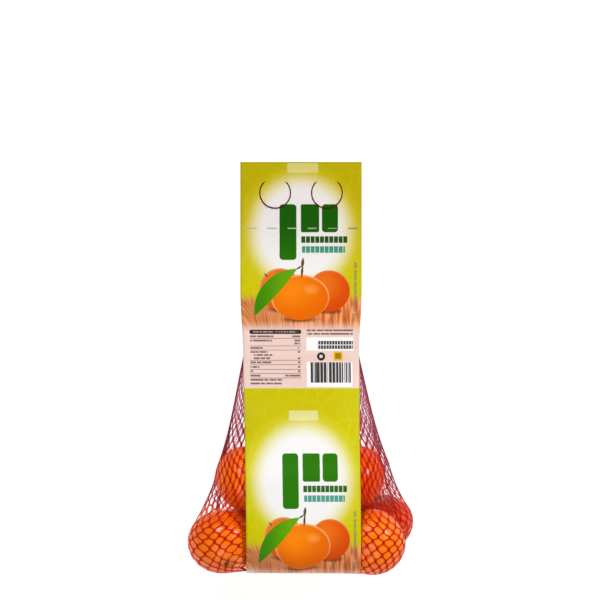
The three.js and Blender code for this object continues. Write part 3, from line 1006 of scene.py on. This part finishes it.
def film_band(name, node, grid, away, downwards, seed):
    """A closed thin sheet over a grid: both faces and a rim, slightly wavy, with its print places."""
    out = normals_of(grid)
    waves = HEADER_RIPPLE * smooth(0, 40, grid[..., 1]) * ripple(grid, 60, seed)
    middle = grid + out * (away[:, None] + 0.5 * waves)[..., None]
    both = np.stack([middle + out * FILM_THICKNESS / 2, middle - out * FILM_THICKNESS / 2])
    rows, columns = grid.shape[:2]
    index = np.arange(rows * columns).reshape(rows, columns)
    rim = np.concatenate([index[0], index[1:, -1], index[-1, -2::-1], index[-2:0:-1, 0]])
    lower, following = rows * columns, np.roll(rim, -1)
    rim_faces = np.stack([rim, rim + lower, following + lower, following], axis=-1)
    top = grid_faces(rows, columns)
    faces = np.concatenate([top, top[:, ::-1] + lower, rim_faces])
    piece = make_piece(name, both, faces.tolist(), node)
    is_smooth = np.repeat([True, True, False], [len(top), len(top), len(rim_faces)])
    piece.data.polygons.foreach_set("use_smooth", is_smooth)
    places = np.tile(print_places(grid, downwards).reshape(-1, 2), (2, 1))
    corners = np.zeros(len(piece.data.loops), dtype=np.int32)
    piece.data.loops.foreach_get("vertex_index", corners)
    piece.data.uv_layers.new(name="print").data.foreach_set("uv", places[corners].ravel())
    return piece


front_film = film_band("front_film", "film_front", front_grid, front_away, False, 91)
back_film = film_band("back_film", "film_back", back_grid, back_away, True, 92)

# %% [markdown]
# ## Finger holes and the tear line
#
# Two round slits let the fingers through. Each leaves a round flap that hangs on at the top, and a row
# of short cuts below them is a line to tear along. The cuts are thin solids that a Boolean takes out of
# both bands. A slit's cutter is an arc of a ring: its angle runs round from one end of the hinge to the
# other. Afterwards each flap is lifted a little: its height grows with the square of the distance from
# the hinge, as when a sheet is bent evenly.

# %% Cuts
HOLE_RADIUS, HOLE_PITCH, HOLE_Y = 13.6, 46.0, 155.0
SLIT_WIDTH = 0.35
ARC_STEPS = 48
# The part of the ring at the top that isn't cut, and how far along the bag its ends lie.
HINGE_DEGREES = 88
HINGE_Y = HOLE_Y + HOLE_RADIUS * np.cos(np.radians(HINGE_DEGREES / 2))
DASH_COUNT, DASH_PITCH, DASH_LENGTH, DASH_WIDTH = 6, 18.0, 7.6, 0.2
FIRST_DASH_X, DASH_Y = -44.0, 123.5
CUT_LOW, CUT_HIGH = -2.0, 5.0


def arc_cutter(centre_x):
    """A ring's arc as a closed solid: its four long edges, from one end of the hinge to the other."""
    half_hinge = np.radians(HINGE_DEGREES / 2)
    angle = np.linspace(np.pi / 2 + half_hinge, 5 * np.pi / 2 - half_hinge, ARC_STEPS + 1)[:, None]
    radius = HOLE_RADIUS + SLIT_WIDTH / 2 * np.array([-1, 1, 1, -1])
    height = np.broadcast_to([CUT_LOW, CUT_LOW, CUT_HIGH, CUT_HIGH], (len(angle), 4))
    x, y = centre_x + radius * np.cos(angle), HOLE_Y + radius * np.sin(angle)
    return np.stack([x, y, height], axis=-1)


def dash_cutter(middle_x):
    """A short straight slot with the same four long edges."""
    x = np.array([[-1], [1]]) * DASH_LENGTH / 2 + middle_x + np.zeros(4)
    y = DASH_Y + DASH_WIDTH / 2 * np.array([[-1, 1, 1, -1], [-1, 1, 1, -1]])
    height = np.broadcast_to([CUT_LOW, CUT_LOW, CUT_HIGH, CUT_HIGH], (2, 4))
    return np.stack([x, y, height], axis=-1)


hole_centres = [-HOLE_PITCH / 2, HOLE_PITCH / 2]
dashes = FIRST_DASH_X + DASH_PITCH * np.arange(DASH_COUNT)
cutters = [arc_cutter(x) for x in hole_centres] + [dash_cutter(x) for x in dashes]
points, faces, first = [], [], 0
for cutter in cutters:
    points.append(cutter.reshape(-1, 3))
    faces += (grid_faces(len(cutter), 4, wrap=True) + first).tolist()
    faces.append([first + 3, first + 2, first + 1, first])
    first += len(cutter) * 4
    faces.append([first - 4, first - 3, first - 2, first - 1])
cut_mesh = bpy.data.meshes.new("cuts")
cut_mesh.from_pydata((np.concatenate(points) * MM).tolist(), [], faces)
cuts = bpy.data.objects.new("cuts", cut_mesh)
scene.collection.objects.link(cuts)
print("cutters:", len(hole_centres), "arcs and", len(dashes), "dashes")

# %% Cutting, and lifting the flaps
FLAP_LIFTS = [(front_film, 2.2), (back_film, 0.9)]

for film, flap_lift in FLAP_LIFTS:
    boolean = film.modifiers.new("cuts", "BOOLEAN")
    boolean.operation = "DIFFERENCE"
    boolean.solver = "EXACT"
    boolean.object = cuts
    cut = film.evaluated_get(bpy.context.evaluated_depsgraph_get())
    mesh = bpy.data.meshes.new_from_object(cut)
    film.modifiers.clear()
    film.data = mesh
    places = np.zeros(len(mesh.vertices) * 3)
    mesh.vertices.foreach_get("co", places)
    places = places.reshape(-1, 3) / MM
    for centre_x in hole_centres:
        apart = np.hypot(places[:, 0] - centre_x, places[:, 1] - HOLE_Y)
        below = np.where(apart < HOLE_RADIUS, np.maximum(HINGE_Y - places[:, 1], 0), 0)
        places[:, 2] += flap_lift * (below / (HINGE_Y - HOLE_Y + HOLE_RADIUS)) ** 2
    mesh.vertices.foreach_set("co", (places * MM).ravel())
    mesh.update()
    print(film.name, "after the cuts:", len(mesh.vertices), "points")
bpy.data.objects.remove(cuts)

# %% [markdown]
# ## A printed pattern from simple masks
#
# A print is drawn here as a painter would: a ground, then one shape over another. A shape is a mask,
# which is 1 inside and 0 outside, made from the place on the print. For a box the mask measures how far
# the place is outside the box. For an ellipse it measures the distance from the middle in half-widths.
# A leaf is where two large circles overlap.

# %% Masks
def box_mask(tree, place, left, right, top, bottom, soft=0.25, corner=0.0):
    """1 in a box with rounded corners: the length of max(|p − middle| − half, 0) stays below the corner."""
    middle = ((left + right) / 2, (top + bottom) / 2, 0)
    half = ((right - left) / 2 - corner, (bottom - top) / 2 - corner, 1)
    away = add(tree, "VectorMath", [place, middle], operation="SUBTRACT")
    away = add(tree, "VectorMath", [away], operation="ABSOLUTE")
    outside = add(tree, "VectorMath", [away, half], operation="SUBTRACT")
    outside = add(tree, "VectorMath", [outside, (0, 0, 0)], operation="MAXIMUM")
    reach = add(tree, "VectorMath", [outside], out="Value", operation="LENGTH")
    return add(tree, "MapRange", [reach, corner + soft, corner], **S_CURVE)


def ellipse_mask(tree, place, middle, half, start=1.02, full=0.97):
    """1 in an ellipse: the length of (p − middle) / half, from 0 at start to 1 at full."""
    away = add(tree, "VectorMath", [place, (*middle, 0)], operation="SUBTRACT")
    away = add(tree, "VectorMath", [away, (*half, 1)], operation="DIVIDE")
    reach = add(tree, "VectorMath", [away], out="Value", operation="LENGTH")
    return add(tree, "MapRange", [reach, start, full], **S_CURVE)


def circle_radius(half, bulge):
    """The radius of a circle on which a chord of half length h has a bulge b: (h² + b²) / 2b."""
    return (half**2 + bulge**2) / (2 * bulge)


def leaf_mask(tree, place, base, tip, bulges):
    """1 where two circles overlap. Each passes through both ends and bulges out to one side.

    Each circle's middle lies square to the leaf, and its radius less the bulge away from the leaf's middle.
    """
    base, tip = np.array(base), np.array(tip)
    half = np.linalg.norm(tip - base) / 2
    square = np.array([base[1] - tip[1], tip[0] - base[0]]) / (2 * half)
    masks = []
    for bulge, side in zip(bulges, (1, -1)):
        radius = circle_radius(half, bulge)
        middle = (base + tip) / 2 - side * square * (radius - bulge)
        masks.append(ellipse_mask(tree, place, middle, (radius, radius), 1 + 0.3 / radius, 1 - 0.3 / radius))
    return add(tree, "Math", masks, operation="MULTIPLY")


print("a leaf 20 mm long that bulges by 3 mm has an edge of radius", round(circle_radius(10, 3), 1), "mm")

# %% [markdown]
# ## The film and its lime field
#
# The film is polypropylene, printed on its inner face and left matt outside: it has a dull, even sheen,
# and the ink shows through it. Both bands have the same ground, a lime field with paler veins between
# rounded cells, as in the flesh of the fruit.

# %% Film and field
VEIN_SPACING = 17.0
VEIN_SHARE = 0.35
FILM_FINISH = {"Roughness": 0.45, "IOR": 1.5, "Specular IOR Level": 0.05}


def film_material(name):
    """A printed film: its material, tree and shader, and the place on the print, across and along."""
    material, tree, shader = new_material(name, FILM_FINISH)
    return material, tree, shader, add(tree, "UVMap", uv_map="print")


def lime_field(tree, place, lime, pale):
    """Lime, with veins where the place is near the edge between two cells of a Voronoi pattern."""
    edge = add(tree, "TexVoronoi", {"Vector": place, "Scale": 1 / VEIN_SPACING}, feature="DISTANCE_TO_EDGE")
    vein = add(tree, "MapRange", [edge, 0.05, 0], **S_CURVE)
    return painted(tree, lime, [(vein, VEIN_SHARE, pale)])


print("veins about", VEIN_SPACING, "mm apart")

# %% [markdown]
# ## The front band's print
#
# The print repeats every 219 mm, so one and a half copies show. Each copy starts with a lime field that
# glows white in its middle, with green blocks, and goes on with three mandarins and a leaf on a wooden
# table. Below that is a pale panel with a ruled table and a striped label. Nothing is written on it:
# where the real film has words there are plain bars and blocks.
#
# A place on the print is two lengths in millimetres: how far right of the middle line it is, and how far
# below the top of its copy of the print. All shapes below are given by such places and by their sizes.

# %% Front print: the lime field and the wooden table
# The length of one copy, and how far along the bag the header's copy would start.
REPEAT = 219.1
FIELD_TOP = 201.1
# Millimetres across the wood's grain, and how many times longer it runs along the boards.
GRAIN_WIDTH = 2.8
GRAIN_STRETCH = 9.0

printed_front, tree, shader, place = film_material("printed_polypropylene_front")
across = add(tree, "SeparateXYZ", [place])
along = across.node.outputs[1]
below = add(tree, "Math", [FIELD_TOP, along], operation="SUBTRACT")
below = add(tree, "Math", [below, REPEAT], operation="FLOORED_MODULO")
spot = add(tree, "CombineXYZ", [across, below])

# The white glow with its yellow edge, and the bare bar at the top.
glow = ellipse_mask(tree, spot, (0, 79), (62, 63), 1.0, 0.62)
white = ellipse_mask(tree, spot, (0, 80), (52, 56), 1.0, 0.62)
bare_bar = box_mask(tree, spot, -12, 15, 19.7, 28, corner=1)
layers = [(glow, 0.6, "#ebe25c"), (white, 1, "#f0efee"), (bare_bar, 0.5, "#f0edc0")]
field = painted(tree, lime_field(tree, spot, "#c9bf00", "#d4ce34"), layers)

# The boards fan out towards the left: the grain leans by a share of the distance below the top.
lean = add(tree, "MapRange", [across, 0, -52, 0.1, 1.2], **S_CURVE)
leaning = add(tree, "Math", [below, lean], operation="MULTIPLY")
grain_x = add(tree, "Math", [across, leaning], operation="SUBTRACT")
grain_y = add(tree, "Math", [below, 1 / GRAIN_STRETCH], operation="MULTIPLY")
grain_place = add(tree, "CombineXYZ", [grain_x, grain_y])
grain_inputs = {"Vector": grain_place, "Scale": 1 / GRAIN_WIDTH, "Detail": 4, "Distortion": 0.4}
grain = add(tree, "TexNoise", grain_inputs)
pale_grain = add(tree, "MapRange", [grain, 0.34, 0.66], **S_CURVE)
shade = add(tree, "MapRange", [across, 10, -45], **S_CURVE)
joint = box_mask(tree, spot, 28.4, 29.0, 140, 230, soft=0.4)
layers = [(pale_grain, 1, "#fca86c"), (shade, 0.3, "#8c5a2a"), (joint, 0.5, "#7a3414")]
wood = painted(tree, "#c05c26", layers)

# The wooden table and the pale panel both fade in from above.
table = box_mask(tree, spot, -60, 60, 145, 230, soft=11)
panel = box_mask(tree, spot, -60, 60, 171, 230, soft=12)
colour = painted(tree, field, [(table, 1, wood), (panel, 1, "#edd0c6")])
print("the print repeats every", REPEAT, "mm:", len(tree.nodes), "nodes for its ground")

# %% Front print: green blocks, fruit and leaf
# Left, right, top, bottom, and the corners' radius.
BLOCKS = [(-19, -4.2, 56.3, 105.6, 3), (0, 16, 56.3, 81, 1.5), (18.7, 32.7, 56.3, 81, 3)]
# Middle, half sizes, the colours where the light falls and on the far side, and how pale the rim is.
FRUIT = [((-18.5, 131.6), (18.5, 18.5), "#ec7c20", "#d65804", 0.5)]
FRUIT += [((24.9, 133.3), (18.8, 18.4), "#ec7016", "#d84a04", 0.3)]
FRUIT += [((-0.8, 139.0), (25.9, 20.2), "#f5840a", "#e86800", 0.8)]
# Both ends, the bulge to each side, and the colour.
TWIGS = [((2.0, 103.6), (0.9, 113.2), 1.3, "#6a4c22"), ((1.4, 110.6), (0.5, 121.6), 1.0, "#5c3c1c")]
TWIGS += [((0.8, 110.9), (-4.6, 114.4), 0.8, "#4c4a1c"), ((-29, 121), (-33, 117.6), 0.6, "#4c4a1c")]

layers = [(box_mask(tree, spot, *box, corner=corner), 1, "#2b7609") for *box, corner in BLOCKS]
for (x, y), (wide, high), *_ in FRUIT:
    shadow = ellipse_mask(tree, spot, (x, y + high - 0.8), (wide * 0.85, 4), 1.0, 0.3)
    layers.append((shadow, 0.8, "#5e2408"))
for (x, y), (wide, high), lit, far, pale in FRUIT:
    over_foot = add(tree, "MapRange", [below, y + high - 2, y + high * 0.3], **S_CURVE)
    rim = ellipse_mask(tree, spot, (x, y), (wide, high), 1.015, 0.985)
    layers.append((rim, 1, painted(tree, far, [(over_foot, pale, "#f2b07c")])))
    bright, around = (x - wide * 0.3, y - high * 0.35), (wide * 1.35, high * 1.35)
    lit_part = ellipse_mask(tree, spot, bright, around, 1.0, 0.0)
    inside = ellipse_mask(tree, spot, (x + 0.3, y + 0.6), (wide, high), 0.985, 0.93)
    layers.append((inside, 1, painted(tree, far, [(lit_part, 1, lit)])))
shine = ellipse_mask(tree, spot, (9, 132), (9, 6), 1.0, 0.2)
layers.append((shine, 0.35, "#ffb45a"))
for base, tip, bulge, bark in TWIGS:
    layers.append((leaf_mask(tree, spot, base, tip, (bulge, bulge)), 1, bark))
leaf = leaf_mask(tree, spot, (-3.3, 113.5), (-41.8, 155.4), (12.6, 2.0))
near_stem = add(tree, "MapRange", [across, -40, -8], **S_CURVE)
layers.append((leaf, 1, painted(tree, "#3a8604", [(near_stem, 1, "#66a40a")])))
colour = painted(tree, colour, layers)
print("shapes laid over the ground:", len(layers))

# %% [markdown]
# ## Bars in place of words
#
# Where the real film has words this one has teeth, as on a comb, or dashes of uneven length. Teeth come
# from folding the place across the print back and forth. For dashes the print is cut into narrow cells,
# and each cell draws a number by chance: where the number is low, the ink is nearly left out.

# %% Front print: teeth and dashes
# The share of the ink that is left between two dashes, and how many millimetres a tooth's edge takes.
FAINT = 0.15
EDGE = 0.15


def comb(tree, across, pitch, gap):
    """1 on the teeth of a comb along the print's width, and 0 in the gaps between them."""
    tooth = add(tree, "Math", [across, pitch], operation="PINGPONG")
    return add(tree, "MapRange", [tooth, gap / 2, gap / 2 + EDGE], **S_CURVE)


def scattered(tree, across, width, seed, share, thickness=1.0):
    """The thickness, or only a faint share of it, for each cell of a width: a share of them is faint."""
    cell = add(tree, "Math", [across, 1 / width, seed], operation="MULTIPLY_ADD")
    cell = add(tree, "Math", [cell], operation="FLOOR")
    chance = add(tree, "TexWhiteNoise", {"W": cell}, noise_dimensions="1D")
    inked = [chance, share - 0.05, share + 0.05, FAINT * thickness, thickness]
    return add(tree, "MapRange", inked, **S_CURVE)


print("share of the ink that is left between dashes:", FAINT)

# %% Front print: word bars, the ruled table and the striped label
# Left, right, top, bottom, and the colour.
WORD_BARS = [(0.2, 41.5, 84.8, 90.4, "#33661c"), (1.0, 39.0, 93.6, 99.2, "#4f9f8a")]
RULES = [175.5, 182.1, 185.9, 195.3, 199.1, 203.3, 206.8, 210.7]
# Left and right ends of each printed line, and how far down it is.
LINES = [(-47, -25, 173.6), (-8, -1, 173.6), (-47, -27, 177.4), (-6, -1, 177.4), (-6, -1, 180.0)]
LINES += [(-47, -35, 183.9), (-3, -1, 183.9), (-47, -31, 187.7), (-3, -1, 187.7), (-44, -27, 190.5)]
LINES += [(-44, -29, 193.5), (-3, -1, 193.5), (-47, -28, 197.1), (-3, -1, 197.1), (-47, -39, 201.1)]
LINES += [(-3, -1, 201.1), (-47, -44, 204.9), (-3, -1, 204.9), (-47, -38, 208.7), (-15, -1, 208.7)]
LINES += [(-47, -18, 212.3), (-47, -18, 215.5), (5.3, 47.5, 168.3), (5.3, 47.5, 171.4)]
RULE_HALF, LINE_HALF = 0.15, 0.65

layers = []
for left, right, top, bottom, ink in WORD_BARS:
    bar = box_mask(tree, spot, left, right, top, bottom, corner=0.5)
    layers.append((bar, comb(tree, across, 2.07, 0.4), ink))

# The ruled table: its dark heading, the rules, and the dashes between them.
layers.append((box_mask(tree, spot, -47.3, 0, 167.8, 171.4, corner=1.2), 1, "#3c2a2a"))
heading = box_mask(tree, spot, -44, -2, 169.1, 170.1)
layers.append((heading, scattered(tree, across, 1.0, 2.0, 0.3, 0.45), "#e8d8d2"))
for row in RULES:
    layers.append((box_mask(tree, spot, -47.3, 0, row - RULE_HALF, row + RULE_HALF), 0.8, "#7c625e"))
for left, right, row in LINES:
    line = box_mask(tree, spot, left, right, row - LINE_HALF, row + LINE_HALF)
    layers.append((line, scattered(tree, across, 1.0, row, 0.12, 0.85), "#54403e"))

# The white strip with two rows of teeth.
layers.append((box_mask(tree, spot, 5.3, 48.4, 174.8, 186, soft=0.8), 1, "#fbf9f8"))
for row in (179.3, 183.2):
    line = box_mask(tree, spot, 16, 48, row - 1.5, row + 1.5)
    layers.append((line, comb(tree, across, 1.3, 0.3), "#4c4748"))

# A plain disc and a plain square, each with a small square inside.
layers.append((ellipse_mask(tree, spot, (18.5, 191.8), (3.8, 3.8)), 1, "#2c2626"))
layers.append((box_mask(tree, spot, 17.2, 19.8, 190.5, 193.1), 1, "#e6dcd6"))
layers.append((box_mask(tree, spot, 30.3, 38.4, 187.4, 195.4, corner=0.6), 1, "#efb51c"))
layers.append((box_mask(tree, spot, 31.9, 36.9, 188.8, 193.8), 1, "#a07c1e"))

# The striped label, the column of dashes up the right edge, and the line where one copy ends.
layers.append((box_mask(tree, spot, 5.3, 47.2, 196.8, 218.2), 1, "#fdfcfc"))
stripes = box_mask(tree, spot, 8.8, 45.8, 197.1, 214.7)
layers.append((stripes, scattered(tree, across, 0.62, 0.4, 0.22), "#3f3a3c"))
side_line = box_mask(tree, spot, 47.2, 49.4, 108, 160)
layers.append((side_line, scattered(tree, below, 1.0, 8.0, 0.15, 0.6), "#7d7464"))
layers.append((box_mask(tree, spot, -60, 60, -1, 0.5), 1, "#edd0a6"))
colour = painted(tree, colour, layers)
print("bars, rules and lines:", len(layers))

# %% [markdown]
# The header is painted deeper than the rest, with more contrast: painted shade, because no white light comes
# from behind it.
# A thin dark brown ring is painted round each finger hole, below its hinge: painted shadow in the slit under
# the lifted flap.
# The dashes of the tear line look pale on the left and dark on the right.

# %% Front print: the header's painted shade, the painted shadow along the slits, and the tear line
# Painted shade on the header: its colours are raised to a gamma and tinted darker.
HEADER_GAMMA = 1.3
HEADER_TINT = (0.9, 0.85, 0.85)
DASH_HALF = 0.4

painted_header_shade = add(tree, "Gamma", [colour, HEADER_GAMMA])
painted_header_shade = add(tree, "VectorMath", [painted_header_shade, HEADER_TINT], operation="MULTIPLY")
on_header = add(tree, "MapRange", [along, 70, 135], **S_CURVE)
layers = [(on_header, 1, painted_header_shade)]

# Painted shadow along each slit, below its hinge, where the lifted flap leaves a dark gap.
under_hinge = add(tree, "MapRange", [along, HINGE_Y + 1, HINGE_Y - 1], **S_CURVE)
for centre_x in hole_centres:
    away = add(tree, "VectorMath", [place, (centre_x, HOLE_Y, 0)], operation="SUBTRACT")
    reach = add(tree, "VectorMath", [away], out="Value", operation="LENGTH")
    off_slit = add(tree, "Math", [reach, HOLE_RADIUS], operation="SUBTRACT")
    off_slit = add(tree, "Math", [off_slit], operation="ABSOLUTE")
    layers.append((add(tree, "MapRange", [off_slit, 0.75, 0.45], **S_CURVE), under_hinge, "#4a1d12"))

# The tear line's dashes: painted shade in and round the slots, light grey on the left and dark brown on the
# right.
from_dash = add(tree, "Math", [across, DASH_PITCH / 2 - FIRST_DASH_X], operation="ADD")
from_dash = add(tree, "Math", [from_dash, DASH_PITCH], operation="FLOORED_MODULO")
dash_place = add(tree, "CombineXYZ", [from_dash, along])
ends = (DASH_PITCH - DASH_LENGTH) / 2, (DASH_PITCH + DASH_LENGTH) / 2
dash = box_mask(tree, dash_place, *ends, DASH_Y - DASH_HALF, DASH_Y + DASH_HALF, soft=0.3)
to_right = add(tree, "MapRange", [across, 0, 46], **S_CURVE)
layers.append((dash, 1, painted(tree, "#9a928c", [(to_right, 1, "#3a1a0e")])))

tree.links.new(painted(tree, colour, layers), shader.inputs["Base Color"])
dress([front_film], printed_front)

# %% [markdown]
# ## The back band's print
#
# The back band carries the same lime field with one large pale panel, which is bare.

# %% The back band's print
printed_back, tree, shader, place = film_material("printed_polypropylene_back")
panel = box_mask(tree, place, -44, 44, -120, 20, corner=6)
colour = painted(tree, lime_field(tree, place, "#cdc404", "#dcd638"), [(panel, 1, "#f4efe6")])
tree.links.new(colour, shader.inputs["Base Color"])
dress([back_film], printed_back)
